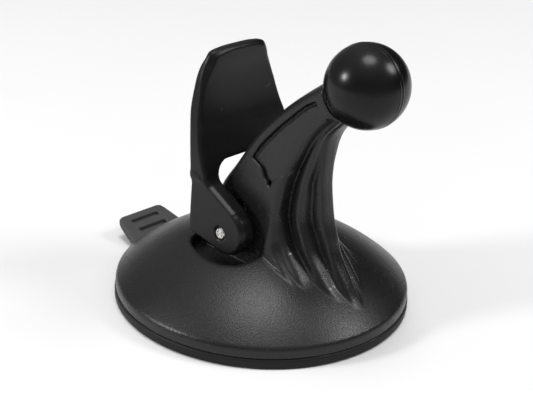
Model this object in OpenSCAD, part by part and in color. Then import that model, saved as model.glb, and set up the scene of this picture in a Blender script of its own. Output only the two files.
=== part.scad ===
// Suction-cup mount with a ball, for a portable navigator.
// +Z is up and +X is the way the arm leans. The origin is the centre of the cup's sealing plane.

/* [Base] */
// Outer radius of the rubber edge
base_r = 32; // [26:0.5:40]
// Height of the seam between the rubber edge and the skirt
seam_z = 2.2; // [1.8:0.1:3]
// Height of the crease where the skirt turns into the dome
crease_z = 4.4; // [3.6:0.1:5.4]
// Height of the dome's top over the sealing plane
dome_top = 16.6; // [15:0.1:20]
// Wall of the housing
wall = 2.2; // [1.6:0.1:2.7]

/* [Suction cup] */
// Thickness of the rubber web
web_t = 1.2; // [0.8:0.1:1.6]
// Height of the web's underside when the cup is free
web_z = 0.8; // [0.6:0.1:1.1]
// Height of the core's top
core_top = 4.4; // [3.7:0.1:5.3]
// Rubber around the stem's flange
core_wall = 1.1; // [0.8:0.1:2]
// Width of the thick rubber edge
rim_w = 4.4; // [3.6:0.1:6]

/* [Pull tab] */
// Reach of the tab beyond the rubber edge
tab_len = 9.2; // [7:0.1:14]
// Half width of the tab at its end
tab_half_w = 6.9; // [5:0.1:9]
// Thickness of the tab
tab_t = 1.8; // [1.2:0.1:2.2]
// Height that the tab's end rises over its root
tab_rise = 2.7; // [1:0.1:3.5]

/* [Ball and arm] */
// Radius of the ball
ball_r = 8.5; // [7:0.1:10.2]
// Distance of the ball's centre forward of the cup's axis
ball_x = 24.3; // [20:0.1:29.2]
// Height of the ball's centre
ball_z = 54.3; // [45:0.1:66]
// Radius of the steel stud in the ball
stud_r = 2.5; // [1.5:0.1:3]
// Depth of the flutes in the arm
flute_depth = 1.1; // [0.4:0.1:1.4]
// Wall of the hollow arm
arm_wall = 2.4; // [1.8:0.1:3]

/* [Stem and pin] */
// Rise of the lever's pin over the dome's top
pin_rise = 1.8; // [1.5:0.1:3]
// Radius of the pin
pin_r = 1.25; // [1:0.05:1.6]
// Half thickness of the stem along X
stem_x = 4; // [3.3:0.1:4.8]
// Half width of the stem along Y
stem_y = 5.4; // [4.5:0.1:6]
// Rise of the stem over the pin's centre
stem_over_pin = 3.6; // [3:0.1:4.6]
// Lift of the stem from the open to the locked lever
lift = 4; // [3:0.1:4.8]

/* [Lever] */
// Half distance between the ears' inner faces
ear_in = 9.75; // [9:0.05:11.7]
// Thickness of each ear
ear_t = 4; // [3:0.1:5]
// Height of the arch between the ears, over the pin
arch_rise = 13; // [12:0.1:15]
// Height of the lever's top over the pin
lever_len = 36.3; // [30:0.1:44]
// Half width of the lever near its top
lever_top_w = 9; // [7:0.1:11]

/* [Clearances] */
// Radial clearance of the pin in the stem
pin_gap = 0.05; // [0.02:0.01:0.1]
// Clearance of the stem in its shaft
stem_gap = 0.3; // [0.2:0.05:0.4]
// Side clearance of the pin in the arm's slots
slot_gap = 0.3; // [0.2:0.05:0.5]
// Clearance of the lever's ears in the dome's pockets, on the inside
pocket_gap = 0.4; // [0.3:0.05:0.8]

/* [Hidden] */
$fn = 96;
far = 100;
// Locked and forward turns of the lever, in degrees
lock_deg = 82;
open_deg = 9;
drop = lift * open_deg / lock_deg;

// The skirt stands a little inside the rubber, and the dome's sphere runs from its crease to the top
skirt_r = base_r - 0.2;
dome_h = dome_top - crease_z;
dome_r = (skirt_r * skirt_r + dome_h * dome_h) / (2 * dome_h);
cavity_r = dome_r - wall;
cavity_top = dome_top - wall;
cavity_skirt_r = skirt_r - wall;

// Thick rubber edge, with a lip inside the skirt
rim_in_r = base_r - rim_w;
lip_r = cavity_skirt_r - 0.2;
lip_top = seam_z + 1;
rim_chamfer = 0.3;
seal_w = 2.5;

// Pin and the lever's ears
pin_z = dome_top + pin_rise;
ear_out = ear_in + ear_t;
pin_half = ear_out - 0.15;
pin_bevel = 0.35;

// Round front end of each ear
nose = [1, pin_z + 1.2];
nose_r = 5.7;

// Pockets in the dome, under the ears
pocket_floor = nose[1] - nose_r - 2;
pocket_x0 = -12.4;
pocket_x1 = 8.6;
pocket_in = ear_in - pocket_gap;
pocket_out = ear_out + 1.1;
pad_t = 2;

// Washer and spring around the stem
washer_t = 0.6;
washer_in_r = norm([stem_x, stem_y]) + 0.3;
spring_wire = 0.8;
spring_r = washer_in_r + spring_wire / 2 + 0.2;
washer_out_r = spring_r + spring_wire / 2 + 0.8;
spring_low = core_top + washer_t;
spring_high = pocket_floor;
spring_turns = floor(2 * ((spring_high - spring_low - lift) / spring_wire - 1)) / 2;
bay_r = spring_r + spring_wire / 2 + 0.4;

// Flange of the stem, keyed into the core
flange_t = 1;
flange_z = core_top - 2 * flange_t;
flange_r = washer_out_r;
key_r = flange_r + 1;
core_r = key_r + core_wall;

// Ribs under the dome, clear of the core
rib_t = 1.4;
rib_z = core_top + lift - 1;
rib_r0 = core_r + 1.5;
rib_r1 = skirt_r - 6.8;

// The arm stands between the ears, and its back leaves a wall behind the stem's shaft
arm_half = ear_in - 1.75;
arm_back = -stem_x - stem_gap - 2.1;
foot_x = skirt_r - 4.4;
foot_z = dome_top - 9.8;
waist_back = [arm_back, pin_z + 4.6];
waist_front = [foot_x - 9.5, pin_z + 4.8];
neck_back = [ball_x - 15.1, ball_z - 6.1];
neck_front = [ball_x - 5.1, ball_z - 11.1];
hollow_top = ball_z - 16.3;

// Ball and stud line up with the neck
neck_deg = 41;
ball_c = [ball_x, 0, ball_z];
stud_back = 17;
stud_fore = 4.5;

// A point a share of the way up the waist's back or front, set back by a bow
function back_at(t, bow) = waist_back + (neck_back - waist_back) * t - [bow, 0];
function front_at(t, bow) = waist_front + (neck_front - waist_front) * t - [bow, 0];

// The arm's stations: back point [x, z], front point [x, z], what the half width at the back
// and at the first ridge have over the waist's, length of the fluted prow, half width of the
// front face, share of the full flute depth, corner radius at the back.
arm_stations = [
    [[arm_back - 1.6, foot_z - 0.8], [foot_x, foot_z], -0.2, 0.4, 4.6, 1, 0.4, 2],
    [[arm_back - 1.6, foot_z + 4.2], [foot_x - 2.6, foot_z + 4.2], 0, 1.3, 6, 1.2, 0.7, 2],
    [[arm_back - 1.2, foot_z + 7.2], [foot_x - 5.2, foot_z + 7.2], 0, 1.5, 8.2, 1.4, 0.9, 2],
    [[arm_back - 0.8, foot_z + 10.2], [foot_x - 7.1, foot_z + 10.2], 0, 0.9, 9.6, 1.6, 1, 2],
    [waist_back, waist_front, 0, 0, 8.3, 1.8, 1, 2],
    [back_at(0.3, 2.2), front_at(0.29, 1.7), -0.4, -0.7, 6.3, 1.8, 0.8, 2.4],
    [back_at(0.52, 2.5), front_at(0.61, 1.7), -1.1, -1.4, 4.6, 1.8, 0.55, 2.8],
    [back_at(0.8, 1.9), front_at(0.87, 1), -1.8, -2.1, 3.8, 1.9, 0.3, 3.4],
    [neck_back, neck_front, -2.6, -2.9, 3.6, 2, 0.15, 4],
    [neck_back + [4.2, 3.5], neck_front + [1.2, 1.5], -3, -3.5, 3.4, 1.8, 0, 4.2],
    [neck_back + [8.4, 6.4], neck_front + [3.2, 4.2], -3.2, -3.8, 3.2, 1.8, 0, 4.2]
];
prow_steps = 12;
corner_steps = 4;
prow_bulge = 0.6;

// One side of a station's outline, from the back's centre to the front's centre.
// Each point is [distance behind the front face, half width].
function side_points(s, inset) =
    let (len = norm(s[0] - s[1]) - inset, b = arm_half + s[2] - inset, w = arm_half + s[3] - inset,
         prow = s[4], f = max(s[5] - inset / 2, 0.4), dep = inset > 0 ? 0 : s[6] * flute_depth,
         rc = min(s[7], b - 0.2))
    concat(
        [[len, 0]],
        [for (i = [0 : corner_steps]) let (a = 90 * i / corner_steps)
            [len - rc + rc * cos(a), b - rc + rc * sin(a)]],
        [for (i = [0 : prow_steps]) let (t = i / prow_steps,
            n = [w - f, prow] / norm([w - f, prow]),
            out = prow_bulge * sin(180 * t) - dep * (1 - cos(720 * t)) / 2)
            [inset + prow * (1 - t) - n[0] * out, w + (f - w) * t + n[1] * out]],
        [[inset, 0]]
    );

// The whole ring of a station in space, both sides
function ring(s, inset) =
    let (p = side_points(s, inset), n = len(p), dir = (s[0] - s[1]) / norm(s[0] - s[1]))
    concat(
        [for (i = [0 : n - 1]) let (q = s[1] + dir * p[i][0]) [q[0], p[i][1], q[1]]],
        [for (i = [n - 2 : -1 : 1]) let (q = s[1] + dir * p[i][0]) [q[0], -p[i][1], q[1]]]
    );

// A solid through all the stations
module arm_loft(inset = 0) {
    rings = [for (s = arm_stations) ring(s, inset)];
    n = len(rings[0]);
    m = len(rings);
    points = [for (r = rings) each r];
    sides = [for (j = [0 : m - 2]) for (i = [0 : n - 1]) each
        let (a = j * n + i, b = j * n + (i + 1) % n)
        [[a, b, b + n], [a, b + n, a + n]]];
    ends = [[for (i = [n - 1 : -1 : 0]) i], [for (i = [0 : n - 1]) (m - 1) * n + i]];
    polyhedron(points, concat(sides, ends), convexity = 6);
}

// Points on a cubic curve
function curve(a, b, c, d, steps) =
    [for (i = [0 : steps]) let (t = i / steps, u = 1 - t)
        u * u * u * a + 3 * u * u * t * b + 3 * u * t * t * c + t * t * t * d];

// Dome cap of a given sphere and skirt, standing on the plane z = low
module cap(r, top, out_r, low) {
    rotate_extrude()
        intersection() {
            translate([0, top - r]) circle(r, $fn = 360);
            translate([0, low]) square([out_r, far]);
        }
}

module cavity() {
    cap(cavity_r, cavity_top, cavity_skirt_r, -1);
}

// Box between two corners
module block(lo, hi) {
    translate(lo) cube(hi - lo);
}

// The same thing on both sides of the plane of symmetry
module both_sides() {
    children();
    mirror([0, 1, 0]) children();
}

module stud_line() {
    translate(ball_c) rotate([0, 90 - neck_deg, 0]) children();
}

module housing() {
    stem_top = pin_z + stem_over_pin;
    color([0.06, 0.06, 0.065])
    difference() {
        union() {
            difference() {
                union() {
                    cap(dome_r, dome_top, skirt_r, seam_z);
                    arm_loft();
                }
                cavity();
            }
            seat_pads();
            ribs();
            stem_guide();
        }
        // Bay for the spring
        cylinder(r = bay_r, h = spring_high);
        both_sides() block([pocket_x0, pocket_in, pocket_floor], [pocket_x1, pocket_out, pin_z]);
        // Shaft for the stem
        block([-stem_x - stem_gap, -stem_y - stem_gap, 0],
              [stem_x + stem_gap, stem_y + stem_gap, stem_top + lift + 0.5]);
        // Hollow of the arm, forward of the shaft
        intersection() {
            arm_loft(arm_wall);
            block([stem_x + stem_gap + 1.6, -far, 0], [far, far, hollow_top]);
        }
        // Slots that let the pin rise with the stem
        pin_slot();
        translate(ball_c) sphere(ball_r);
        stud_line() translate([0, 0, -stud_back]) cylinder(r = stud_r, h = stud_back);
    }
}

module pin_slot() {
    r = pin_r + slot_gap;
    z0 = pin_z - drop - slot_gap;
    z1 = pin_z + lift + slot_gap;
    rotate([90, 0, 0]) translate([0, 0, -pocket_in]) {
        translate([0, z0, 0]) cylinder(r = r, h = 2 * pocket_in);
        translate([0, z1, 0]) cylinder(r = r, h = 2 * pocket_in);
        block([-r, z0, 0], [r, z1, 2 * pocket_in]);
    }
}

// Thick floor under each pocket
module seat_pads() {
    intersection() {
        cap(dome_r, dome_top, skirt_r, seam_z);
        both_sides() block([pocket_x0 - pad_t, stem_y + stem_gap, pocket_floor - pad_t],
                           [pocket_x1 + pad_t, pocket_out + pad_t, dome_top]);
    }
}

// Stiffening ribs under the dome
module ribs() {
    intersection() {
        cap(dome_r - 0.5, dome_top - 0.5, skirt_r - 0.5, seam_z);
        for (a = [30 : 60 : 330])
            rotate([0, 0, a]) block([rib_r0, -rib_t / 2, rib_z], [rib_r1, rib_t / 2, dome_top]);
    }
}

// Thick middle that guides the stem and seats the spring's upper end
module stem_guide() {
    intersection() {
        cap(dome_r - 0.5, dome_top - 0.5, skirt_r, seam_z);
        translate([0, 0, spring_high]) cylinder(r = washer_out_r + 0.6, h = dome_top);
    }
}

module ball() {
    color([0.02, 0.02, 0.022])
    difference() {
        translate(ball_c) sphere(ball_r);
        stud_line() translate([0, 0, -ball_r - 2]) cylinder(r = stud_r, h = ball_r + 2 + stud_fore);
    }
}

module ball_stud() {
    color("silver")
    stud_line() translate([0, 0, -stud_back]) cylinder(r = stud_r, h = stud_back + stud_fore);
}

module cup_rim() {
    color([0.09, 0.09, 0.09])
    rotate_extrude()
        polygon([[rim_in_r, web_z], [base_r - rim_chamfer - seal_w, 0], [base_r - rim_chamfer, 0],
                 [base_r, rim_chamfer], [base_r, seam_z - 0.2], [base_r - 0.2, seam_z], [lip_r, seam_z],
                 [lip_r, lip_top], [rim_in_r, lip_top]]);
}

module cup_web() {
    color([0.12, 0.12, 0.12])
    translate([0, 0, web_z]) difference() {
        cylinder(r = rim_in_r, h = web_t);
        translate([0, 0, -1]) cylinder(r = core_r, h = web_t + 2);
    }
}

module cup_core() {
    color([0.1, 0.1, 0.1])
    difference() {
        translate([0, 0, web_z]) cylinder(r = core_r, h = core_top - web_z);
        stem_flange();
    }
}

module stem_flange() {
    translate([0, 0, flange_z]) cylinder(r = key_r, h = flange_t);
    translate([0, 0, flange_z]) cylinder(r = flange_r, h = 2 * flange_t);
}

module stem() {
    color([0.25, 0.25, 0.27])
    difference() {
        union() {
            stem_flange();
            block([-stem_x, -stem_y, flange_z], [stem_x, stem_y, pin_z + stem_over_pin - 1]);
            block([-stem_x + 1, -stem_y, pin_z], [stem_x - 1, stem_y, pin_z + stem_over_pin]);
        }
        translate([0, 0, pin_z]) rotate([90, 0, 0])
            cylinder(r = pin_r + pin_gap, h = 4 * stem_y, center = true);
    }
}

module spring_washer() {
    color("silver")
    translate([0, 0, core_top]) difference() {
        cylinder(r = washer_out_r, h = washer_t);
        translate([0, 0, -1]) cylinder(r = washer_in_r, h = washer_t + 2);
    }
}

// Coil of round wire, swept as one closed tube. Its upper end always bears on the seat behind the shaft
module return_spring() {
    sides = 8;
    steps = 60;
    lo = spring_low + spring_wire / 2;
    hi = spring_high - spring_wire / 2;
    rings = [for (i = [0 : steps]) let (t = i / steps, a = 180 - 360 * spring_turns * (1 - t))
        [for (k = [0 : sides - 1]) let (b = 360 * k / sides, r = spring_r + spring_wire / 2 * cos(b))
            [r * cos(a), r * sin(a), lo + (hi - lo) * t + spring_wire / 2 * sin(b)]]];
    walls = [for (j = [0 : steps - 1]) for (k = [0 : sides - 1]) each
        let (a = j * sides + k, b = j * sides + (k + 1) % sides)
        [[a, b + sides, b], [a, a + sides, b + sides]]];
    ends = [[for (k = [0 : sides - 1]) k], [for (k = [sides - 1 : -1 : 0]) steps * sides + k]];
    color("gainsboro")
    polyhedron([for (r = rings) each r], concat(walls, ends), convexity = 8);
}

// The tab, seen from the side, rises from the edge to its end
module pull_tab() {
    root = -base_r + 2;
    knee = -base_r - 1.6;
    tab_reach = base_r + tab_len;
    low = 0.4;
    top = low + tab_t;
    color([0.09, 0.09, 0.09])
    difference() {
        intersection() {
            rotate([90, 0, 0]) translate([0, 0, -far / 2]) linear_extrude(far)
                polygon([[root, low], [knee, low], [-tab_reach + 0.3, low + tab_rise],
                         [-tab_reach, low + tab_rise + 0.5], [-tab_reach, top + tab_rise - 0.4],
                         [-tab_reach + 0.5, top + tab_rise], [knee, top], [root, top]]);
            linear_extrude(far) tab_plan();
        }
        translate([0, 0, -1]) cylinder(r = base_r, h = far);
        // Grip slots
        for (x = [-tab_reach + 2.4, -tab_reach + 5.2])
            block([x - 0.4, -tab_half_w / 2, top + tab_rise * (knee - x) / (knee + tab_reach) - 0.5],
                  [x + 0.4, tab_half_w / 2, far]);
    }
}

module tab_plan() {
    r = 1.6;
    w = tab_half_w;
    x = -base_r - tab_len;
    flare = 2.2;
    polygon([[x, r - w], [x, w - r], [x + r * 0.3, w - r * 0.3], [x + r, w], [1 - base_r, w + flare],
             [3 - base_r, w + flare], [3 - base_r, -w - flare], [1 - base_r, -w - flare],
             [x + r, -w], [x + r * 0.3, r * 0.3 - w]]);
}

// Outline of the lever seen from the side: back, top, front, ear's edge and heel
module lever_side() {
    heel = [-9.5, pin_z - 2.6];
    top = pin_z + lever_len;
    polygon(concat(
        [heel + [0, 1.5], [-9.15, pin_z + 8.6]],
        curve([-9.2, pin_z + 9.4], [-9.4, pin_z + 18.1], [-14.2, top - 11.1], [-11.3, top - 1.5], 12),
        [[-10.9, top - 0.4], [-10.2, top], [-9.4, top - 0.3]],
        curve([-8.9, top - 1.5], [-10.6, top - 9.1], [-8, pin_z + 21.6], [-6.6, pin_z + 14.8], 12),
        [[-4.9, pin_z + 11.4], [-2.8, pin_z + 10], nose + nose_r * [0.475, 0.88],
         nose, nose + nose_r * [-0.27, -0.96], heel + [2.4, -0.65], heel + [1, -0.15]]));
}

// Outline of the lever seen from the front
module lever_front() {
    top = pin_z + lever_len;
    w = lever_top_w;
    half = concat(
        [[ear_out, 0], [ear_out, pin_z + 13], [ear_out - 0.7, pin_z + 18]],
        curve([ear_out - 1.3, pin_z + 20.6], [ear_out - 2.6, pin_z + 26], [w + 0.9, top - 6],
              [w, top - 3.6], 5),
        curve([w - 0.5, top - 2.6], [w - 1.4, top - 0.9], [w - 3, top - 0.3], [0, top + 0.2], 5));
    n = len(half);
    polygon(concat(half, [for (i = [n - 2 : -1 : 0]) [-half[i][0], half[i][1]]]));
}

// Opening between the ears, with rounded upper corners
module lever_arch() {
    r = 3.6;
    arch_top = pin_z + arch_rise;
    for (s = [-1, 1])
        translate([s * (ear_in - r), arch_top - r]) circle(r);
    translate([-ear_in, -1]) square([2 * ear_in, arch_top - r + 1]);
    translate([-ear_in + r, -1]) square([2 * (ear_in - r), arch_top + 1]);
}

module lever() {
    color([0.07, 0.07, 0.075])
    difference() {
        intersection() {
            rotate([90, 0, 0]) translate([0, 0, -far / 2]) union() {
                linear_extrude(far) lever_side();
                translate(nose) cylinder(r = nose_r, h = far);
            }
            rotate([90, 0, 90]) translate([0, 0, -far / 2]) linear_extrude(far) lever_front();
        }
        rotate([90, 0, 90]) translate([0, 0, -far / 2]) linear_extrude(far) lever_arch();
        translate([0, 0, pin_z]) rotate([90, 0, 0]) cylinder(r = pin_r, h = far, center = true);
        both_sides() translate([0, ear_out + 0.01, pin_z]) rotate([90, 0, 0])
            cylinder(r1 = pin_r + pin_bevel, r2 = pin_r, h = pin_bevel);
    }
}

module pivot_pin() {
    color("silver")
    translate([0, 0, pin_z]) rotate([90, 0, 0]) cylinder(r = pin_r, h = 2 * pin_half, center = true);
}

housing();
ball();
ball_stud();
cup_rim();
pull_tab();
cup_web();
return_spring();
stem();
cup_core();
spring_washer();
lever();
pivot_pin();
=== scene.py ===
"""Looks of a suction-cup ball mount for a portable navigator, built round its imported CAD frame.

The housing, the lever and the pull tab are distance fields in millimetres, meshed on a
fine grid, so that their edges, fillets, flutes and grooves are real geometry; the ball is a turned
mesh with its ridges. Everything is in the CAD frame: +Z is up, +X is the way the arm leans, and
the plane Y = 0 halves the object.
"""
import math

import bmesh
import bpy
import numpy as np
from mathutils import Matrix, Vector

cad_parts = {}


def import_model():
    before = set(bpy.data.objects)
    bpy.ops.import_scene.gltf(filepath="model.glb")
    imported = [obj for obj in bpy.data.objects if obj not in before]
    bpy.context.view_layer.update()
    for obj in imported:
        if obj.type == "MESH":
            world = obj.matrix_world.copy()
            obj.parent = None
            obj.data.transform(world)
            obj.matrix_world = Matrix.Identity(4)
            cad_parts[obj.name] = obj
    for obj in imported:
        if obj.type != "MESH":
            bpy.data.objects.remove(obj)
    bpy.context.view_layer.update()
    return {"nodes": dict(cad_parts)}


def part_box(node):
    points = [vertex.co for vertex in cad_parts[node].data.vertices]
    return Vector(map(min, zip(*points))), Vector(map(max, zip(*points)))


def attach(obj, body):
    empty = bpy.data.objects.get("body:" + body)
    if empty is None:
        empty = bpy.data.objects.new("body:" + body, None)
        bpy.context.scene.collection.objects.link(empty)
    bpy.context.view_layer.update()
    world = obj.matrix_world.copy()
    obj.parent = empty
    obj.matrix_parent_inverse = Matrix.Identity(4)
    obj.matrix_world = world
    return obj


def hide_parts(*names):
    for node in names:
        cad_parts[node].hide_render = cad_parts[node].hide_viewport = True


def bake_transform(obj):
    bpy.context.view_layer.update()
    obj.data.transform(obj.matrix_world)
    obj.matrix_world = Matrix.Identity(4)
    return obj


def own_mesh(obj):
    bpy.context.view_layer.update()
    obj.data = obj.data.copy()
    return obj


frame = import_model()
MM = 0.001


def box_mm(node):
    """Lowest and highest corner of a CAD node, in millimetres."""
    low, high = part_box(node)
    return np.array(low) / MM, np.array(high) / MM


# ---------------------------------------------------------------- sizes, from the frame

rim_high = box_mm("cup_rim")[1]
housing_low, housing_high = box_mm("housing")
ball_low, ball_high = box_mm("ball")
pin_low, pin_high = box_mm("pivot_pin")
lever_low, lever_high = box_mm("lever")
tab_low, tab_high = box_mm("pull_tab")
core_high = box_mm("cup_core")[1]
web_low, web_high = box_mm("cup_web")
spring_low, spring_high = box_mm("return_spring")
stem_high = box_mm("stem")[1]

BASE_R = rim_high[0]
SKIRT_R = housing_high[1]
SEAM_Z = housing_low[2]
BALL_C = (ball_low + ball_high) / 2
BALL_R = (ball_high[2] - ball_low[2]) / 2
PIN_Z = (pin_low[2] + pin_high[2]) / 2
PIN_R = (pin_high[2] - pin_low[2]) / 2
DOME_TOP = PIN_Z - 1.8
CREASE_Z = 4.4  # height at which the dome's sphere meets the upright skirt
DOME_H = DOME_TOP - CREASE_Z
DOME_R = (SKIRT_R ** 2 + DOME_H ** 2) / (2 * DOME_H)
WALL = 2.2
EAR_OUT = lever_high[1]
EAR_IN = EAR_OUT - 4
LEVER_TOP = lever_high[2]
POCKET_FLOOR = spring_high[2]
POCKET_IN = EAR_IN - 0.4
LIFT = 4


# ---------------------------------------------------------------- distance fields

def smooth_min(a, b, k):
    """The union of two fields, with a fillet about k wide where they meet."""
    h = np.clip(0.5 + 0.5 * (b - a) / k, 0, 1)
    return b + (a - b) * h - k * h * (1 - h)


def smooth_max(a, b, k):
    """What two fields share, with an edge rounded about k wide where they meet."""
    return -smooth_min(-a, -b, k)


def curve_through(points, steps):
    """Points along a centripetal Catmull-Rom curve through all the given points."""
    p = np.array(points, float)
    p = np.vstack([2 * p[0] - p[1], p, 2 * p[-1] - p[-2]])
    gaps = np.linalg.norm(np.diff(p, axis=0), axis=1) ** 0.5 + 1e-9
    knots = np.concatenate([[0], np.cumsum(gaps)])
    out = []
    for i in range(1, len(p) - 2):
        t0, t1, t2, t3 = knots[i - 1 : i + 3]
        span = t2 - t1
        m1 = span * ((p[i] - p[i - 1]) / (t1 - t0) - (p[i + 1] - p[i - 1]) / (t2 - t0)
                     + (p[i + 1] - p[i]) / span)
        m2 = span * ((p[i + 1] - p[i]) / span - (p[i + 2] - p[i]) / (t3 - t1)
                     + (p[i + 2] - p[i + 1]) / (t3 - t2))
        for t in np.arange(steps) / steps:
            h = t * t * (3 - 2 * t)
            out.append(p[i] + h * (p[i + 1] - p[i]) + t * (1 - t) * ((1 - t) * m1 - t * m2))
    out.append(p[-2])
    return np.array(out)


def outline_distance(u, v, outline):
    """Signed distance from the points (u, v) to a closed outline, negative inside."""
    outline = np.array(outline, float)
    best = np.full(np.broadcast(u, v).shape, 1e9)
    inside = np.zeros(best.shape, bool)
    for (ax, ay), (bx, by) in zip(outline, np.roll(outline, -1, axis=0)):
        ex, ey = bx - ax, by - ay
        t = np.clip(((u - ax) * ex + (v - ay) * ey) / max(ex * ex + ey * ey, 1e-12), 0, 1)
        best = np.minimum(best, (u - ax - ex * t) ** 2 + (v - ay - ey * t) ** 2)
        if by != ay:
            inside ^= ((ay > v) != (by > v)) & (u < ax + ex * (v - ay) / ey)
    return np.where(inside, -1, 1) * np.sqrt(best)


def path_distance(u, v, path):
    """Distance from the points (u, v) to an open path."""
    best = np.full(np.broadcast(u, v).shape, 1e9)
    for (ax, ay), (bx, by) in zip(path[:-1], path[1:]):
        ex, ey = bx - ax, by - ay
        t = np.clip(((u - ax) * ex + (v - ay) * ey) / (ex * ex + ey * ey), 0, 1)
        best = np.minimum(best, (u - ax - ex * t) ** 2 + (v - ay - ey * t) ** 2)
    return np.sqrt(best)


class Grid:
    """Grid points of one half, y >= 0, of a box round a piece."""

    def __init__(self, low, high, step):
        self.step = step
        count = np.ceil((np.array(high) - low) / step).astype(int) + 1
        self.low = np.array([low[0], 0, low[2]])
        axes = [self.low[i] + step * np.arange(count[i]) for i in range(3)]
        self.x = axes[0][:, None, None]
        self.y = axes[1][None, :, None]
        self.z = axes[2][None, None, :]

    def side(self, distance, line):
        """A distance to a line in the side view, x and z, the same at every y."""
        return distance(self.x[:, 0, :], self.z[0, :, :], line)[:, None, :]

    def plan(self, distance, line):
        """A distance to a line in the plan view, x and y, the same at every z."""
        return distance(self.x[:, :, 0], self.y[:, :, 0], line)[:, :, None]

    def front(self, distance, line):
        """A distance to a line in the front view, y and z, the same at every x."""
        return distance(self.y[0, :, :], self.z[0, :, :], line)[None]

    def mesh(self, field):
        """Vertices and quads of the surface where the field is 0, on both halves."""
        both = np.concatenate([field[:, :0:-1, :], field], axis=1)
        low = self.low.copy()
        low[1] = -self.step * (field.shape[1] - 1)
        return surface_of(both, low, self.step)


def surface_of(field, low, step):
    """One vertex in each cell that the surface crosses, and one quad for each crossed edge."""
    inside = field < 0
    shape = np.array(field.shape)
    strides = np.array([shape[1] * shape[2], shape[2], 1])
    cells, points, quads = [], [], []
    for axis in range(3):
        a, b = (axis + 1) % 3, (axis + 2) % 3
        first = [slice(None)] * 3
        second = [slice(None)] * 3
        first[axis] = slice(0, -1)
        second[axis] = slice(1, None)
        edge = np.argwhere(inside[tuple(first)] != inside[tuple(second)])
        across = edge[:, [a, b]]
        edge = edge[((across > 0) & (across < shape[[a, b]] - 1)).all(axis=1)]
        end = edge.copy()
        end[:, axis] += 1
        f0 = field[tuple(edge.T)]
        f1 = field[tuple(end.T)]
        point = edge.astype(float)
        point[:, axis] += f0 / (f0 - f1)
        corner = []
        for da, db in ((0, 0), (-1, 0), (-1, -1), (0, -1)):
            cell = edge.copy()
            cell[:, a] += da
            cell[:, b] += db
            corner.append(cell @ strides)
        quad = np.stack(corner, axis=1)
        quad[f0 > 0] = quad[f0 > 0][:, ::-1]
        cells.extend(corner)
        points.extend([point] * 4)
        quads.append(quad)
    cells = np.concatenate(cells)
    points = np.concatenate(points)
    used, index = np.unique(cells, return_inverse=True)
    count = np.bincount(index)
    verts = np.stack([np.bincount(index, points[:, i]) / count for i in range(3)], axis=1)
    quads = np.searchsorted(used, np.concatenate(quads))
    verts = settle(field, verts)
    return low + verts * step, quads


def settle(field, verts):
    """Moves vertices, in grid units, onto the zero surface of the field, in two short moves."""
    flattest, longest = 0.02, 0.35
    grad = np.gradient(field)
    top = np.array(field.shape) - 2
    for _ in range(2):
        cell = np.clip(np.floor(verts).astype(int), 0, top)
        part = verts - cell
        value = np.zeros(len(verts))
        slope = np.zeros((len(verts), 3))
        for corner in np.ndindex(2, 2, 2):
            weight = np.prod(np.where(corner, part, 1 - part), axis=1)
            at = tuple((cell + corner).T)
            value += weight * field[at]
            slope += weight[:, None] * np.stack([g[at] for g in grad], axis=1)
        move = (value / np.maximum((slope ** 2).sum(axis=1), flattest))[:, None] * slope
        verts = verts - np.clip(move, -longest, longest)
    return verts


# ---------------------------------------------------------------- pieces

def piece(name, verts_mm, faces, material, body, node=None, smooth_angle=None):
    """A mesh piece from points in millimetres, riding on a CAD body."""
    if isinstance(faces, np.ndarray):
        faces = faces.tolist()
    mesh = bpy.data.meshes.new(name)
    mesh.from_pydata((np.asarray(verts_mm, float) * MM).tolist(), [], faces)
    mesh.validate()
    mesh.materials.append(material)
    mesh.shade_smooth()
    if smooth_angle:
        mesh.set_sharp_from_angle(angle=math.radians(smooth_angle))
    obj = bpy.data.objects.new(name, mesh)
    bpy.context.scene.collection.objects.link(obj)
    if node:
        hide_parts(node)
    if body:
        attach(obj, body)
    return obj


def rounded(profile, radius, steps=5):
    """A closed profile with its corners rounded."""
    p = [np.array(q, float) for q in profile]
    out = []
    for i, q in enumerate(p):
        before, after = p[i - 1] - q, p[(i + 1) % len(p)] - q
        lb, la = np.linalg.norm(before), np.linalg.norm(after)
        r = min(radius, lb * 0.45, la * 0.45)
        a, b = q + before / lb * r, q + after / la * r
        out += [(1 - t) ** 2 * a + 2 * t * (1 - t) * q + t * t * b for t in np.linspace(0, 1, steps)]
    return np.array(out)


def revolve(profile, segments, closed=True):
    """Vertices and faces of a profile of (radius, height) turned about Z."""
    p = np.array(profile, float)
    n = len(p)
    turn = 2 * math.pi * np.arange(segments) / segments
    verts = np.stack([np.outer(np.cos(turn), p[:, 0]), np.outer(np.sin(turn), p[:, 0]),
                      np.tile(p[:, 1], (segments, 1))], axis=2).reshape(-1, 3)
    faces = []
    for j in range(segments):
        k = (j + 1) % segments
        for i in range(n if closed else n - 1):
            m = (i + 1) % n
            faces.append([j * n + i, k * n + i, k * n + m, j * n + m])
    return verts, faces


def outward_is_wrong(verts, faces):
    """True if the closed mesh's faces point inwards, by its signed volume."""
    v = np.asarray(verts)
    volume = 0
    for face in faces:
        for i in range(1, len(face) - 1):
            volume += np.dot(v[face[0]], np.cross(v[face[i]], v[face[i + 1]]))
    return volume < 0


def turned(name, profile, material, body, node, segments, corner, sharp):
    """A piece turned about Z from a closed profile, its corners rounded."""
    verts, faces = revolve(rounded(profile, corner), segments)
    if outward_is_wrong(verts, faces):
        faces = [f[::-1] for f in faces]
    return piece(name, verts, faces, material, body, node, sharp)


def clean(obj):
    """Welds double points and points the faces outwards."""
    bm = bmesh.new()
    bm.from_mesh(obj.data)
    bmesh.ops.remove_doubles(bm, verts=bm.verts, dist=1e-6)
    bmesh.ops.dissolve_degenerate(bm, edges=bm.edges, dist=1e-7)
    bmesh.ops.recalc_face_normals(bm, faces=bm.faces)
    bm.to_mesh(obj.data)
    bm.free()


# ---------------------------------------------------------------- materials

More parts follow.
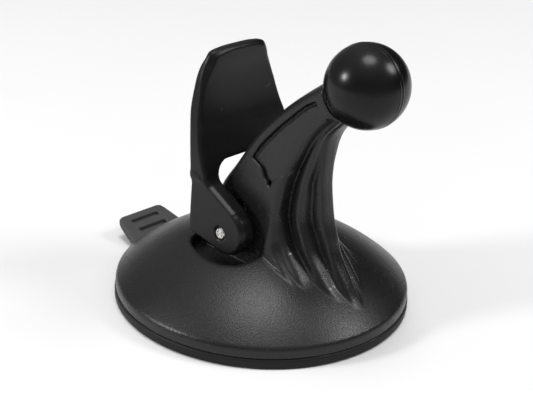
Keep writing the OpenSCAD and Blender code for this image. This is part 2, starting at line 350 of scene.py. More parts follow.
class Nodes:
    """A material's node tree, with short calls for the nodes it needs."""

    def __init__(self, name):
        self.material = bpy.data.materials.new(name)
        self.material.use_nodes = True
        self.tree = self.material.node_tree
        self.shader = self.tree.nodes["Principled BSDF"]
        self.place = self.add("ShaderNodeTexCoord").outputs["Object"]

    def add(self, kind, **settings):
        node = self.tree.nodes.new(kind)
        for key, value in settings.items():
            setattr(node, key, value)
        return node

    def link(self, source, target):
        self.tree.links.new(source, target)

    def noise(self, scale, detail=3, rough=0.5, stretch=None):
        node = self.add("ShaderNodeTexNoise")
        node.inputs["Scale"].default_value = scale
        node.inputs["Detail"].default_value = detail
        node.inputs["Roughness"].default_value = rough
        place = self.place
        if stretch:
            mapping = self.add("ShaderNodeMapping")
            mapping.inputs["Scale"].default_value = stretch
            self.link(place, mapping.inputs["Vector"])
            place = mapping.outputs["Vector"]
        self.link(place, node.inputs["Vector"])
        return node.outputs["Fac"]

    def span(self, value, low, high, to_low, to_high):
        node = self.add("ShaderNodeMapRange")
        ends = {"From Min": low, "From Max": high, "To Min": to_low, "To Max": to_high}
        for key, number in ends.items():
            node.inputs[key].default_value = number
        self.link(value, node.inputs["Value"])
        return node.outputs["Result"]

    def maths(self, kind, a, b):
        node = self.add("ShaderNodeMath", operation=kind)
        for socket, value in zip(node.inputs, (a, b)):
            if isinstance(value, (int, float)):
                socket.default_value = value
            else:
                self.link(value, socket)
        return node.outputs[0]

    def mix(self, factor, a, b):
        node = self.add("ShaderNodeMix", data_type="RGBA")
        self.link(factor, node.inputs["Factor"])
        for socket, value in ((node.inputs[6], a), (node.inputs[7], b)):
            if isinstance(value, tuple):
                socket.default_value = (*value, 1)
            else:
                self.link(value, socket)
        return node.outputs[2]

    def edge_mask(self, low, high):
        """0 on flat faces to 1 on sharp edges: outer ones if high is the larger, else inner ones."""
        return self.span(self.add("ShaderNodeNewGeometry").outputs["Pointiness"], low, high, 0, 1)

    def bump(self, height, distance, strength=1.0, below=None):
        node = self.add("ShaderNodeBump")
        node.inputs["Strength"].default_value = strength
        node.inputs["Distance"].default_value = distance
        self.link(height, node.inputs["Height"])
        if below is not None:
            self.link(below, node.inputs["Normal"])
        return node.outputs["Normal"]

    def finish(self, colour=None, roughness=None, normal=None, **constants):
        for socket, value in (("Base Color", colour), ("Roughness", roughness), ("Normal", normal)):
            if value is not None:
                self.link(value, self.shader.inputs[socket])
        for socket, value in constants.items():
            self.shader.inputs[socket.replace("_", " ")].default_value = value
        return self.material


def moulded_plastic(name, dark, light, rough, grain, grain_depth, painted_sparkle_share, ior):
    """Moulded plastic: grain of a given size and depth in mm, drifting tone and gloss, light flecks
    painted as sparkle, edges rubbed glossier and lightened with a painted highlight, and hollows made
    less reflective as painted shade.
    """
    n = Nodes(name)
    fine = n.noise(1000 / grain, 2, 0.6)
    drift = n.noise(60, 4, 0.6)
    # Sharp outer edges: rubbed glossier, and their tone lightened as a painted highlight.
    edges = n.edge_mask(0.53, 0.62)
    # Inner creases and hollows, made less reflective further down as painted shade.
    hollows_painted_shade = n.edge_mask(0.47, 0.36)
    tone = n.mix(drift, dark, light)
    # Painted sparkle: light flecks in the tone that stand in for glints off the grain.
    painted_sparkle = n.span(n.noise(1600 / grain, 1, 0.5), 0.62, 0.8, 0, painted_sparkle_share)
    tone = n.mix(painted_sparkle, tone, tuple(4 * c for c in light))
    # Painted highlight: the tone is lightened along sharp edges.
    tone = n.mix(n.maths("MULTIPLY", edges, 0.5), tone, tuple(2.2 * c for c in light))
    gloss = n.maths("ADD", n.span(fine, 0.3, 0.7, rough - 0.07, rough + 0.07),
                    n.span(drift, 0.3, 0.7, -0.035, 0.035))
    gloss = n.maths("SUBTRACT", gloss, n.maths("MULTIPLY", edges, 0.08))
    scratch = n.noise(900, 2, 0.5, stretch=(0.12, 1, 0.5))
    normal = n.bump(scratch, 0.000004, 0.5)
    normal = n.bump(fine, grain_depth * MM, 1.0, normal)
    shine = n.maths("ADD", n.maths("MULTIPLY", edges, 0.5), 0.5)
    # Painted shade: hollows reflect less.
    shine = n.maths("SUBTRACT", shine, n.maths("MULTIPLY", hollows_painted_shade, 0.42))
    n.link(shine, n.shader.inputs["Specular IOR Level"])
    return n.finish(tone, gloss, normal, IOR=ior)


def soft_rubber(name, dark, light):
    """Matte black rubber with a fine bloom of dust and mould texture."""
    n = Nodes(name)
    fine = n.noise(7000, 3, 0.6)
    bloom = n.noise(140, 5, 0.65)
    tone = n.mix(n.span(bloom, 0.35, 0.7, 0, 1), dark, light)
    tone = n.mix(n.maths("MULTIPLY", n.edge_mask(0.53, 0.62), 0.6), tone, (0.05, 0.05, 0.05))
    gloss = n.span(bloom, 0.3, 0.7, 0.5, 0.62)
    return n.finish(tone, gloss, n.bump(fine, 0.00002, 0.8), IOR=1.34)


def ball_plastic(name):
    """Polished black plastic with faint wear from the socket."""
    n = Nodes(name)
    smear = n.noise(180, 4, 0.6)
    hair = n.noise(500, 3, 0.6, stretch=(1, 0.15, 1))
    tone = n.mix(smear, (0.003, 0.003, 0.0033), (0.006, 0.006, 0.0064))
    tone = n.mix(n.maths("MULTIPLY", n.edge_mask(0.52, 0.6), 0.4), tone, (0.03, 0.03, 0.03))
    gloss = n.maths("ADD", n.span(smear, 0.3, 0.7, 0.22, 0.28), n.span(hair, 0.35, 0.65, -0.01, 0.03))
    return n.finish(tone, gloss, n.bump(n.noise(2600, 2, 0.5), 0.000004, 0.35), IOR=1.32)


def drawn_steel(name, stretch):
    """Bright drawn steel with fine lines along its length."""
    n = Nodes(name)
    lines = n.noise(2200, 3, 0.6, stretch=stretch)
    stain = n.noise(700, 3, 0.6)
    tone = n.mix(stain, (0.50, 0.49, 0.46), (0.78, 0.77, 0.74))
    gloss = n.maths("ADD", n.span(lines, 0.3, 0.7, 0.2, 0.36), n.span(stain, 0.4, 0.7, 0, 0.12))
    return n.finish(tone, gloss, n.bump(lines, 0.00001, 0.5), Metallic=1.0)


def pale_floor(name):
    n = Nodes(name)
    tone = n.mix(n.noise(9, 3, 0.5), (0.77, 0.77, 0.77), (0.80, 0.80, 0.80))
    return n.finish(tone, n.span(n.noise(40, 2, 0.5), 0.3, 0.7, 0.75, 0.85), IOR=1.3)


HOUSING_PLASTIC = moulded_plastic(
    "housing_plastic", (0.0075, 0.0075, 0.0078), (0.0125, 0.0125, 0.0128),
    rough=0.32, grain=0.3, grain_depth=0.05, painted_sparkle_share=0.5, ior=1.40)
# The lever's tone is set about half the housing's: painted shade for the dark its face sits in, facing
# the arm.
LEVER_PLASTIC_SHADED = moulded_plastic(
    "lever_plastic", (0.0042, 0.0042, 0.0044), (0.0065, 0.0065, 0.0067),
    rough=0.34, grain=0.12, grain_depth=0.008, painted_sparkle_share=0.12, ior=1.32)
STEM_PLASTIC = moulded_plastic(
    "stem_plastic", (0.05, 0.05, 0.052), (0.07, 0.07, 0.072),
    rough=0.45, grain=0.15, grain_depth=0.01, painted_sparkle_share=0.1, ior=1.45)
BALL_PLASTIC = ball_plastic("ball_plastic")
RUBBER = soft_rubber("rubber", (0.005, 0.005, 0.005), (0.009, 0.009, 0.0088))
# The pull tab's rubber is a lighter copy of the cup's rubber: the light its top catches is painted into
# its tone.
TAB_RUBBER_PAINTED_LIGHT = soft_rubber("tab_rubber_painted_light", (0.045, 0.045, 0.045), (0.062, 0.062, 0.061))
PIN_STEEL = drawn_steel("pin_steel", (1, 0.08, 1))
WIRE_STEEL = drawn_steel("wire_steel", (1, 1, 1))


# ---------------------------------------------------------------- housing: dome and arm

# The arm's level sections, mm. Each row: height, back x, half width at the back, length and width
# of the back's rounding, then (x, half width) of seven points along one flank, and the front x.
# The seven are the first ridge, a shallow flute and its small ridge, the first deep flute, the
# second ridge, the second deep flute and the third ridge.
ARM_LEVELS = [
    (4.0, -8.0, 7.9, 1, 1,
     26.0, 4.2, 26.4, 3.9, 26.8, 3.6, 27.2, 3.1, 28.0, 2.4, 28.5, 1.6, 29.0, 0.9, 29.2),
    (8.0, -8.0, 7.9, 1, 1,
     22.9, 6.4, 23.4, 5.8, 23.9, 5.3, 24.3, 4.2, 25.8, 3.1, 26.1, 1.8, 27.0, 1.0, 27.2),
    (9.5, -7.9, 8.0, 1, 1,
     21.2, 8.0, 21.7, 7.3, 22.1, 6.7, 22.5, 5.2, 24.4, 3.8, 24.6, 1.9, 25.7, 1.2, 25.9),
    (11.0, -7.8, 8.0, 1, 1,
     19.0, 9.2, 19.5, 8.4, 20.1, 8.0, 20.4, 5.9, 22.7, 4.5, 23.0, 2.2, 24.5, 1.4, 24.8),
    (14.0, -7.6, 8.0, 1, 1,
     14.0, 9.6, 15.2, 8.5, 16.6, 8.0, 17.1, 5.3, 19.7, 4.9, 20.2, 2.0, 22.2, 1.5, 22.5),
    (17.0, -7.4, 8.0, 1, 1,
     10.5, 9.0, 12.0, 7.7, 13.2, 7.4, 13.7, 4.7, 17.0, 5.0, 17.8, 1.8, 20.2, 1.6, 20.5),
    (20.0, -7.2, 8.0, 1, 1,
     9.8, 8.5, 10.7, 7.5, 11.5, 6.6, 11.7, 4.3, 15.3, 5.0, 16.3, 1.9, 19.0, 1.7, 19.3),
    (23.0, -6.9, 8.0, 1, 1,
     9.6, 8.0, 10.1, 7.3, 10.4, 6.2, 10.5, 4.2, 14.0, 5.0, 14.9, 2.0, 17.8, 1.8, 18.1),
    (27.5, -5.1, 7.9, 1, 1,
     9.7, 7.7, 10.2, 7.0, 10.4, 5.8, 10.5, 4.0, 13.7, 4.7, 14.5, 2.0, 16.9, 1.7, 17.2),
    (31.0, -2.8, 7.6, 1, 1,
     10.3, 7.2, 10.7, 6.6, 10.9, 5.5, 11.1, 3.9, 13.9, 4.4, 14.4, 2.0, 16.4, 1.7, 16.7),
    (37.0, 0.6, 6.9, 1.4, 1.4,
     12.7, 6.4, 13.1, 5.9, 13.3, 5.1, 13.3, 3.8, 15.2, 3.7, 15.6, 2.0, 16.6, 1.6, 16.8),
    (43.0, 4.9, 6.2, 2, 2,
     16.0, 5.6, 16.2, 5.2, 16.3, 4.7, 16.4, 3.9, 17.5, 3.4, 17.6, 2.4, 18.1, 1.7, 18.3),
    (48.0, 9.5, 5.4, 2.8, 2.8,
     19.7, 5.0, 20.1, 4.6, 20.4, 4.3, 20.8, 3.7, 21.9, 3.1, 22.2, 2.2, 22.7, 1.4, 22.8),
    (54.5, 17.4, 4.7, 3.5, 3.2,
     22.8, 4.4, 23.1, 4.1, 23.4, 3.8, 23.8, 3.4, 24.6, 2.7, 25.0, 1.9, 25.4, 1.1, 25.6),
]
# Ends of the arm in x, its side in y, and the arm's field beyond them
ARM_BACK, ARM_FRONT, ARM_SIDE, FAR = -12, 33, 13, 9.0
# Groove in each flank of the arm, (x, z), with a sharp turn at one of its points
GROOVE = [(16.0, 49.5), (14.2, 48.4), (12.4, 46.8), (10.7, 45.0), (8.9, 43.2), (7.1, 41.1), (5.2, 38.9),
          (3.5, 36.6), (2.4, 34.6), (3.7, 33.9), (5.1, 33.0), (6.1, 31.6), (7.4, 30.5)]
GROOVE_TURN = 8
GROOVE_R, GROOVE_DEPTH = 0.36, 0.9
DOT_R, DOT_DEPTH = 0.55, 1.1  # the hole at the groove's lower end
FLANK_Y = 3  # the groove and the panel are only cut farther out than this
# Front edge of the sunken panel that the groove bounds, (x, z)
PANEL_FRONT = [(12.5, 34.5), (16, 41.5), (19.5, 47)]
PANEL_DEPTH, PANEL_FADE = 0.25, 5
# Pocket in the dome under each ear, (x, half width)
POCKET = [(-9.8, 5.0), (-9.7, 9.4), (-9.3, 12.0), (-8.1, 13.5), (-6.3, 14.5), (-3.4, 15.5), (0.4, 16.1),
          (3.3, 15.6), (5.4, 14.2), (6.7, 12.0), (7.2, 9.4), (7.3, 5.0)]
POCKET_DEEPER = 0.3
# Under the pocket's floor: how far its pad goes below and beyond the pocket
PAD_DOWN, PAD_BEYOND = 2.2, 2
# Inside of the arm: its wall, the hollow's rear end, and its top below the ball's centre
ARM_WALL, HOLLOW_BACK, HOLLOW_TOP = 2.4, 5.9, 16.3
# The stem's shaft, half size in x and y, its guide, and the bay of the spring round it
SHAFT_X, SHAFT_Y, GUIDE_R, BAY_R = 4.3, 5.7, 9.4, 8.4
# The pin's slot through the arm: its middle above the pin, half height, reach and clearance
SLOT_MID, SLOT_HALF, SLOT_OUT, SLOT_GAP = 1.8, 2.6, 12, 0.3
# Ribs inside the dome: directions, half thickness, radii of the ends, and lower edge
RIB_ANGLES = (30, 90, 150)
RIB_HALF, RIB_START, RIB_END, RIB_Z = 0.7, 12.5, 25, 7.4


def spline_rows(heights, rows, z):
    """A natural cubic spline through the rows, at height z."""
    n = len(heights)
    gap = np.diff(heights)
    system = np.eye(n)
    right = np.zeros((n, rows.shape[1]))
    for i in range(1, n - 1):
        system[i, i - 1 : i + 2] = gap[i - 1], 2 * (gap[i - 1] + gap[i]), gap[i]
        right[i] = 6 * ((rows[i + 1] - rows[i]) / gap[i] - (rows[i] - rows[i - 1]) / gap[i - 1])
    bend = np.linalg.solve(system, right)
    i = int(np.clip(np.searchsorted(heights, z) - 1, 0, n - 2))
    a, b = (heights[i + 1] - z) / gap[i], (z - heights[i]) / gap[i]
    return (a * rows[i] + b * rows[i + 1]
            + ((a ** 3 - a) * bend[i] + (b ** 3 - b) * bend[i + 1]) * gap[i] ** 2 / 6)


def arm_section(row):
    """The closed outline (x, y) of the arm at one height."""
    back, half, round_x, round_y = row[:4]
    flank = row[4:18].reshape(7, 2)
    front = row[18]
    corner = [(back + round_x * (1 - math.cos(a)), half - round_y * (1 - math.sin(a)))
              for a in np.linspace(0, math.pi / 2, 7)]
    middle = ((corner[-1][0] + flank[0][0]) / 2, (half + flank[0][1]) / 2 + 0.05)
    side = [curve_through([corner[-1], middle, *flank[:4]], 6)[1:], curve_through(flank[3:6], 6)[1:],
            curve_through([*flank[5:], (front, flank[-1][1] * 0.4), (front, 0)], 6)[1:]]
    upper = np.vstack([[(back, 0)], corner, *side])
    lower = upper[-2:0:-1] * (1, -1)
    return np.vstack([upper, lower])


def arm_field(g):
    """Distance to the arm's outside, on the whole grid of the housing."""
    heights = np.array([level[0] for level in ARM_LEVELS])
    rows = np.array([level[1:] for level in ARM_LEVELS])
    field = np.full(np.broadcast_shapes(g.x.shape, g.y.shape, g.z.shape), FAR)
    xs = (g.x[:, 0, 0] > ARM_BACK) & (g.x[:, 0, 0] < ARM_FRONT)
    ys = g.y[0, :, 0] < ARM_SIDE
    u, v = g.x[xs][:, :, 0], g.y[:, ys][:, :, 0]
    part = np.stack([outline_distance(u, v, arm_section(spline_rows(heights, rows, z)))
                     for z in g.z[0, 0]], axis=2)
    slope = np.gradient(part, g.step, axis=2)
    field[np.ix_(xs, ys)] = part / np.sqrt(1 + slope ** 2)
    return field


def arm_details(g, arm):
    """Cuts the groove and the slightly sunken panel in front of it into the arm's flanks."""
    path = np.vstack([curve_through(GROOVE[:GROOVE_TURN + 1], 2),
                      curve_through(GROOVE[GROOVE_TURN:], 4)[1:]])
    panel = g.side(outline_distance, np.vstack([path, PANEL_FRONT]))
    sunk = PANEL_DEPTH * np.clip(0.5 - panel / 0.5, 0, 1) * np.clip(1 - (-panel - 1) / PANEL_FADE, 0, 1)
    arm = arm + np.where(g.y > FLANK_Y, sunk, 0)
    dot = np.hypot(g.x - GROOVE[-1][0], g.z - GROOVE[-1][1])
    for line, radius, depth, edge in ((g.side(path_distance, path), GROOVE_R, GROOVE_DEPTH, 0.3),
                                      (dot, DOT_R, DOT_DEPTH, 0.15)):
        hole = np.maximum(np.maximum(line - radius, -arm - depth), FLANK_Y - g.y)
        arm = smooth_max(arm, -hole, edge)
    return arm


def housing_field(g):
    r = np.hypot(g.x, g.y)
    from_centre = np.sqrt(r ** 2 + (g.z + (DOME_R - DOME_TOP)) ** 2)
    dome = smooth_max(from_centre - DOME_R, r - SKIRT_R, 0.55)
    dome = smooth_max(dome, SEAM_Z - g.z, 0.25)
    arm = arm_field(g)
    outside = smooth_min(dome, arm_details(g, arm), 0.5)
    cavity = np.maximum(from_centre - DOME_R + WALL, r - SKIRT_R + WALL)
    body = np.maximum(outside, -cavity)

    # What fills the cavity again: pads under the pockets, the stem's guide, and ribs
    pocket_plan = g.plan(outline_distance, POCKET)
    pad = np.maximum(np.maximum(pocket_plan - PAD_BEYOND, POCKET_FLOOR - PAD_DOWN - g.z), outside)
    pad = np.maximum(pad, SHAFT_Y - g.y)
    guide = np.maximum(np.maximum(r - GUIDE_R, POCKET_FLOOR - g.z), outside + 0.5)
    body = np.minimum(body, np.minimum(pad, guide))
    for angle in RIB_ANGLES:
        c, s = math.cos(math.radians(angle)), math.sin(math.radians(angle))
        along, across = g.x * c + g.y * s, np.abs(g.y * c - g.x * s)
        rib = np.maximum(RIB_START - along, along - RIB_END)
        rib = np.maximum(np.maximum(across - RIB_HALF, rib), RIB_Z - g.z)
        body = np.minimum(body, np.maximum(rib, outside + 0.5))

    # What is cut away: the pockets, the ball's seat, and room for the stem, the pin and the spring
    pocket = smooth_max(pocket_plan, POCKET_FLOOR - POCKET_DEEPER - g.z, 1.0)
    body = smooth_max(body, -np.maximum(pocket, POCKET_IN - g.y), 1.6)
    ball = np.sqrt((g.x - BALL_C[0]) ** 2 + g.y ** 2 + (g.z - BALL_C[2]) ** 2) - BALL_R - 0.06
    body = smooth_max(body, -ball, 0.2)
    hollow = np.maximum(np.maximum(arm + ARM_WALL, HOLLOW_BACK - g.x), g.z - (BALL_C[2] - HOLLOW_TOP))
    shaft = np.maximum(np.abs(g.x) - SHAFT_X, g.y - SHAFT_Y)
    shaft = np.maximum(shaft, g.z - (stem_high[2] + LIFT + 0.5))
    slot_z = np.abs(g.z - (PIN_Z + SLOT_MID)) - SLOT_HALF
    slot = np.maximum(np.hypot(g.x, np.maximum(slot_z, 0)) - PIN_R - SLOT_GAP, g.y - SLOT_OUT)
    bay = np.maximum(r - BAY_R, g.z - POCKET_FLOOR)
    for room in (hollow, shaft, slot, bay):
        body = np.maximum(body, -room)
    return body


def make_housing():
    beyond = SKIRT_R + 0.6
    g = Grid((-beyond, 0, SEAM_Z - 0.5), (beyond, beyond, housing_high[2] + 0.8), 0.25)
    verts, quads = g.mesh(housing_field(g))
    piece("housing_shell", verts, quads, HOUSING_PLASTIC, "mount", "housing")


# ---------------------------------------------------------------- lever

# Outlines in the lever's side view, (x, z): the plate above, and the ear below it
PLATE_BACK = [(-9.2, 27), (-9.4, 30), (-9.9, 34), (-10.8, 38), (-11.9, 42), (-12.2, 46), (-12.1, 50),
              (-11.4, 52.4)]
PLATE_TOP = [(-11.5, LEVER_TOP - 0.6), (-11.1, LEVER_TOP), (-9.2, LEVER_TOP)]
PLATE_FRONT = [(-9.1, LEVER_TOP), (-9.2, 52), (-9.6, 48), (-9.3, 44), (-8.5, 40), (-7.6, 37.5),
               (-6.7, 34.5), (-5.7, 31.8), (-4.9, 29.8), (-4.2, 28.0)]
EAR = [(-9.6, 15.9), (-9.2, 27), (-9.3, 29.5), (-5.5, 30.5), (-2.7, 29.2), (4.3, 25.2)]
# The ear's round nose about the pin
NOSE = (1.0, PIN_Z + 0.8)
NOSE_R = 5.3
# The ear's sloping top: the direction it faces in (x, z), and how far out it lies
EAR_WAY = (0.475, 0.88)
EAR_TOP = 22.75
CHAMFER = 1.1  # along the ear's outer edge
CHAMFER_SLOPE = 0.43
# Half width of the plate, (half width, z)
PLATE_EDGE = [(EAR_OUT, 30), (13.5, 34), (12.8, 38), (11.75, 42), (10.65, 46), (10.1, 48), (9.4, 50),
              (8.6, 52), (7.5, 53.5), (5.4, LEVER_TOP - 0.4), (3.3, LEVER_TOP - 0.1), (1.6, LEVER_TOP),
              (0, LEVER_TOP)]
# The arch between the ears
ARCH_TOP = 31.4
ARCH_R = 3.6


def lever_field(g):
    edge = curve_through(PLATE_EDGE, 4)
    front = np.vstack([[(EAR_OUT, 0)], edge, edge[::-1] * (-1, 1), [(-EAR_OUT, 0)]])
    front = g.front(outline_distance, front)

    # The plate's face is a shallow scoop, and its front edges carry a bevel
    face = curve_through(PLATE_FRONT, 4)
    plate = g.side(outline_distance, np.vstack([curve_through(PLATE_BACK, 4), PLATE_TOP, face]))
    scoop = 0.35 * np.clip(1 - (g.y / 11) ** 2, 0, 1) * np.clip((g.z - 31) / 8, 0, 1)
    scoop = scoop * np.clip((LEVER_TOP - 1 - g.z) / 6, 0, 1)
    plate = plate + np.where(g.x > -10.5, scoop, 0)
    behind = g.side(outline_distance, np.vstack([[(-30, face[0][1])], face, [(-30, face[-1][1])]]))
    bevel = 0.45 + 0.7 * np.clip((g.z - 45) / 5, 0, 1)
    plate = smooth_max(smooth_max(plate, front, 0.5), 0.707 * (behind + front + bevel), 0.2)

    nose = [(NOSE[0] + NOSE_R * math.cos(a), NOSE[1] + NOSE_R * math.sin(a))
            for a in np.radians(np.arange(60, -108, -8))]
    ear = g.side(outline_distance, EAR + nose)
    ear = np.maximum(ear, EAR_WAY[0] * g.x + EAR_WAY[1] * g.z - EAR_TOP)
    ear = ear + CHAMFER_SLOPE * np.maximum(g.y - (EAR_OUT - CHAMFER), 0)
    ear = smooth_max(ear, front, 0.25)

    over = np.maximum(g.z - (ARCH_TOP - ARCH_R), 0)
    arch = np.hypot(np.maximum(g.y - (EAR_IN - ARCH_R), 0), over) - ARCH_R
    arch = np.where(over > 0, arch, g.y - EAR_IN)
    body = smooth_max(smooth_min(plate, ear, 0.9), -arch, 0.7)
    pin_hole = PIN_R + 0.03 + np.clip(g.y - (EAR_OUT - 0.4), 0, 0.4)
    return smooth_max(body, pin_hole - np.hypot(g.x, g.z - PIN_Z), 0.1)


def make_lever():
    g = Grid((lever_low[0] - 0.7, 0, lever_low[2] - 0.7), lever_high + 0.7, 0.24)
    verts, quads = g.mesh(lever_field(g))
    # The lever's darker tone is painted shade.
    piece("lever_shell", verts, quads, LEVER_PLASTIC_SHADED, "cam_lever", "lever")


# ---------------------------------------------------------------- ball

def make_ball():
    """The ball, turned about Y so that its parting ridges lie on two rings beside the plane Y = 0."""
    skin_r = BALL_R - 0.11
    ridge_y, ridge_w, ridge_h = 0.42, 0.15, 0.06
    valley_w, valley_part = 0.2, 0.6
    segments = 160
    fine = np.linspace(-1.1, 1.1, 45)
    wide = np.linspace(8, 82.5, 30)
    angles = np.concatenate([[-90], -wide[::-1], np.degrees(np.arcsin(fine / BALL_R)), wide, [90]])
    verts, rings = [], []
    for a in np.radians(angles):
        y = BALL_R * math.sin(a)
        rise = ridge_h * (math.exp(-((abs(y) - ridge_y) / ridge_w) ** 2)
                          - valley_part * math.exp(-(y / valley_w) ** 2))
        r = (skin_r + rise) * math.cos(a)
        count = 1 if abs(abs(a) - math.pi / 2) < 1e-6 else segments
        rings.append((len(verts), count))
        for k in range(count):
            t = 2 * math.pi * k / segments
            verts.append(BALL_C + (r * math.cos(t), skin_r * math.sin(a), r * math.sin(t)))
    faces = []
    for (s0, c0), (s1, c1) in zip(rings[:-1], rings[1:]):
        for k in range(segments):
            m = (k + 1) % segments
            if c0 == 1:
                faces.append([s0, s1 + k, s1 + m])
            elif c1 == 1:
                faces.append([s1, s0 + m, s0 + k])
            else:
                faces.append([s0 + k, s1 + k, s1 + m, s0 + m])
    piece("ball_skin", verts, faces, BALL_PLASTIC, "mount", "ball")


# ---------------------------------------------------------------- rubber: edge, tab, web and core

def make_rim():
    lip_r = SKIRT_R - WALL - 0.2
    inner = web_high[0]
    profile = [(inner, web_low[2]), (BASE_R - 2.8, 0), (BASE_R - 0.35, 0), (BASE_R, 0.4),
               (BASE_R, SEAM_Z - 0.35), (BASE_R - 0.35, SEAM_Z), (lip_r, SEAM_Z), (lip_r, rim_high[2]),
               (inner, rim_high[2])]
    turned("rubber_edge", profile, RUBBER, "mount", "cup_rim", 256, 0.28, 50)


def tab_field(g):
    tip, tip_half, root_half = tab_low[0], 6.9, tab_high[1]
    low, high, thick = tab_low[2], tab_high[2], 1.8
    root, bend, root_top = -BASE_R + 3, -BASE_R - 2.2, low + thick
    plan = [(tip, 0), (tip, tip_half - 1.5), (tip + 0.45, tip_half - 0.45), (tip + 1.5, tip_half),
            (tip + 4, tip_half + 0.6), (-BASE_R - 0.6, tip_half + 1.6), (-BASE_R + 1.2, root_half),
            (root, root_half), (root, 0)]
    plan = g.plan(outline_distance, plan + [(x, -y) for x, y in plan[-2:0:-1]])
    side = [(root, low), (-BASE_R - 1.6, low), (tip, high - thick), (tip, high), (bend, root_top + 0.1),
            (root, root_top)]
    body = smooth_max(plan, g.side(outline_distance, side), 0.55)

    # Two slots for the finger, a little below the sloping top
    slope = (high - root_top) / (bend - tip)
    slot_half, slot_r, slot_depth = 3.6, 0.5, 0.75
    for x in (tip + 2.4, tip + 5.2):
        top = high - slope * (x - tip)
        slot = np.hypot(g.x - x, np.maximum(g.y - slot_half, 0)) - slot_r
        body = smooth_max(body, -np.maximum(slot, top - slot_depth - g.z), 0.3)
    return np.maximum(body, BASE_R + 0.02 - np.hypot(g.x, g.y))


def make_tab():
    g = Grid((tab_low[0] - 0.6, 0, tab_low[2] - 0.6), tab_high + 0.6, 0.2)
    verts, quads = g.mesh(tab_field(g))
    # The tab's rubber carries painted light, as a lighter copy of the cup's.
    tab = piece("tab_skin", verts, quads, TAB_RUBBER_PAINTED_LIGHT, None, "pull_tab")
    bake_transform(tab)


def make_web():
    """The web, with shallow rings under it."""
    inner, outer = core_high[0] * 1.007, web_high[0]
    low, high = web_low[2], web_high[2]
    rings = []
    for r in np.arange(outer - 1.5, inner + 2, -2.5):
        rings += [(r, low), (r - 0.25, low + 0.12), (r - 0.5, low)]
    web = [(outer, high), (outer, low), *rings, (inner, low), (inner, high)]
    turned("rubber_web", web, RUBBER, "mount", "cup_web", 192, 0.1, 60)


# ---------------------------------------------------------------- steel: pin and spring

def make_pin():
    """The pin along Y, with a ring pressed into each end."""
    half, r = pin_high[1], PIN_R
    end = [(0, half), (r * 0.45, half), (r * 0.55, half - 0.12), (r * 0.62, half), (r - 0.2, half),
           (r, half - 0.25)]
    profile = [(x, -y) for x, y in end] + end[::-1]
    verts, faces = revolve(profile, 48, closed=False)
    verts = np.stack([verts[:, 0], verts[:, 2], PIN_Z - verts[:, 1]], axis=1)
    pin = piece("steel_pin", verts, faces, PIN_STEEL, "cam_lever", "pivot_pin", 35)
    clean(pin)


def make_spring():
    """Coil of round wire, swept as one tube with capped ends."""
    wire = 0.4
    coil_r = spring_high[0] - wire
    turns, per_turn, sides = 2.5, 48, 14
    low, high = spring_low[2] + wire, spring_high[2] - wire
    count = int(turns * per_turn) + 1
    verts = []
    for i in range(count):
        t = i / (count - 1)
        a = 2 * math.pi * turns * t
        for k in range(sides):
            b = 2 * math.pi * k / sides
            r = coil_r + wire * math.cos(b)
            verts.append((r * math.cos(a), r * math.sin(a), low + (high - low) * t + wire * math.sin(b)))
    faces = []
    for i in range(count - 1):
        for k in range(sides):
            m = (k + 1) % sides
            faces.append([i * sides + k, (i + 1) * sides + k, (i + 1) * sides + m, i * sides + m])
    faces.append(list(range(sides)))
    faces.append([(count - 1) * sides + k for k in reversed(range(sides))])
    spring = piece("spring_wire", verts, faces, WIRE_STEEL, "mount", "return_spring", 60)
    clean(spring)
    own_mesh(spring)


def dress(node, material):
    """Gives a CAD node that stays as it is its material."""
    obj = frame["nodes"][node]
    obj.data.materials.clear()
    obj.data.materials.append(material)


# ---------------------------------------------------------------- stage

# The photograph's view, fitted to the base's ring, the ball and its seam: place in mm, two axes,
# and focal length for a sensor 36 mm wide
CAMERA_AT = (157.5, -171.27, 127.87)
CAMERA_RIGHT = (0.7195, 0.6926, 0.0507)
CAMERA_FORWARD = (-0.616, 0.6702, -0.4139)
LENS = 81.16
LIGHTS_AIM = (0.005, 0, 0.03)  # the middle of the object, m
DIM_SIDE = 78  # azimuth of the room's darkest side, degrees


def camera():
    data = bpy.data.cameras.new("camera")
    data.sensor_width = 36
    data.lens = LENS
    obj = bpy.data.objects.new("camera", data)
    right = Vector(CAMERA_RIGHT).normalized()
    forward = Vector(CAMERA_FORWARD).normalized()
    up = right.cross(forward)
    turn = Matrix((right, up, -forward)).transposed()
    obj.matrix_world = Matrix.Translation(Vector(CAMERA_AT) * MM) @ turn.to_4x4()
    bpy.context.scene.collection.objects.link(obj)
    bpy.context.scene.camera = obj


def area_light(name, azimuth, elevation, distance, size, radiance):
    """A round soft box that faces the object, set by the brightness of its own face."""
    data = bpy.data.lights.new(name, "AREA")
    data.shape = "DISK"
    data.size = size
    data.energy = radiance * math.pi * math.pi * size * size / 4
    obj = bpy.data.objects.new(name, data)
    a, e = math.radians(azimuth), math.radians(elevation)
    way = Vector((math.cos(a) * math.cos(e), math.sin(a) * math.cos(e), math.sin(e)))
    obj.location = Vector(LIGHTS_AIM) + way * distance
    obj.rotation_euler = way.to_track_quat("Z", "Y").to_euler()
    bpy.context.scene.collection.objects.link(obj)


def top_light(strength, spread):
    """A wide soft light straight above that reaches the whole floor evenly."""
    data = bpy.data.lights.new("top", "SUN")
    data.energy = strength
    data.angle = math.radians(spread)
    obj = bpy.data.objects.new("top", data)
    bpy.context.scene.collection.objects.link(obj)


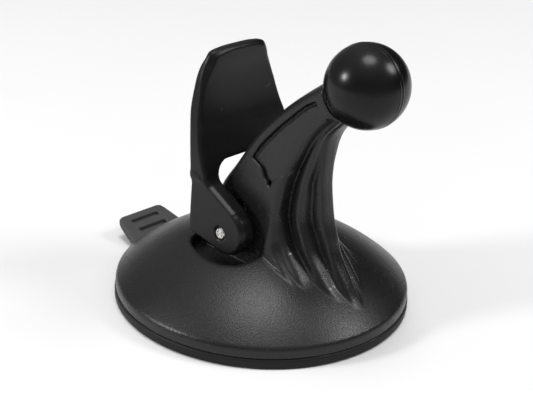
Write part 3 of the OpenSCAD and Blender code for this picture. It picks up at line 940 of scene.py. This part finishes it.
def world():
    """A dim room: brighter overhead, and darker on the side behind and to the right of the object."""
    sky = bpy.data.worlds.new("studio")
    sky.use_nodes = True
    tree = sky.node_tree
    place = tree.nodes.new("ShaderNodeTexCoord").outputs["Generated"]

    def ramp(value, stops):
        node = tree.nodes.new("ShaderNodeValToRGB")
        tree.links.new(value, node.inputs[0])
        stop = node.color_ramp.elements
        while len(stop) < len(stops):
            stop.new(0.5)
        for one, (position, grey) in zip(stop, stops):
            one.position = position
            one.color = (grey, grey, grey, 1)
        return node.outputs[0]

    split = tree.nodes.new("ShaderNodeSeparateXYZ")
    tree.links.new(place, split.inputs[0])
    height = ramp(split.outputs["Z"], ((0, 0.2), (0.4, 0.24), (0.65, 0.4), (0.85, 0.65), (1, 0.7)))
    side = tree.nodes.new("ShaderNodeVectorMath")
    side.operation = "DOT_PRODUCT"
    tree.links.new(place, side.inputs[0])
    dim = math.radians(DIM_SIDE)
    side.inputs[1].default_value = (math.cos(dim), math.sin(dim), 0)
    shade = ramp(side.outputs["Value"], ((0.25, 1.0), (0.5, 0.75), (0.8, 0.1), (1, 0.04)))
    both = tree.nodes.new("ShaderNodeMix")
    both.data_type = "RGBA"
    both.blend_type = "MULTIPLY"
    both.inputs["Factor"].default_value = 1
    tree.links.new(height, both.inputs[6])
    tree.links.new(shade, both.inputs[7])
    tree.links.new(both.outputs[2], tree.nodes["Background"].inputs["Color"])
    bpy.context.scene.world = sky


def floor():
    """A flat floor, 6 m across, just under the rubber."""
    size, cells = 6.0, 12
    side = np.linspace(-size / 2, size / 2, cells + 1)
    verts = [(x / MM, y / MM, -0.02) for x in side for y in side]
    row = cells + 1
    faces = [[i * row + j, (i + 1) * row + j, (i + 1) * row + j + 1, i * row + j + 1]
             for i in range(cells) for j in range(cells)]
    piece("floor", verts, faces, pale_floor("pale_floor"), None)


# ---------------------------------------------------------------- build

make_housing()
make_lever()
make_ball()
make_rim()
make_tab()
make_web()
make_pin()
make_spring()
for node, material in (("ball_stud", PIN_STEEL), ("stem", STEM_PLASTIC), ("cup_core", RUBBER),
                       ("spring_washer", PIN_STEEL)):
    dress(node, material)

floor()
camera()
world()
top_light(strength=1.4, spread=26)
area_light("key", azimuth=-122, elevation=26, distance=0.6, size=0.12, radiance=48)
area_light("back", azimuth=41, elevation=43, distance=0.6, size=0.2, radiance=13)
bpy.context.scene.view_settings.view_transform = "Standard"
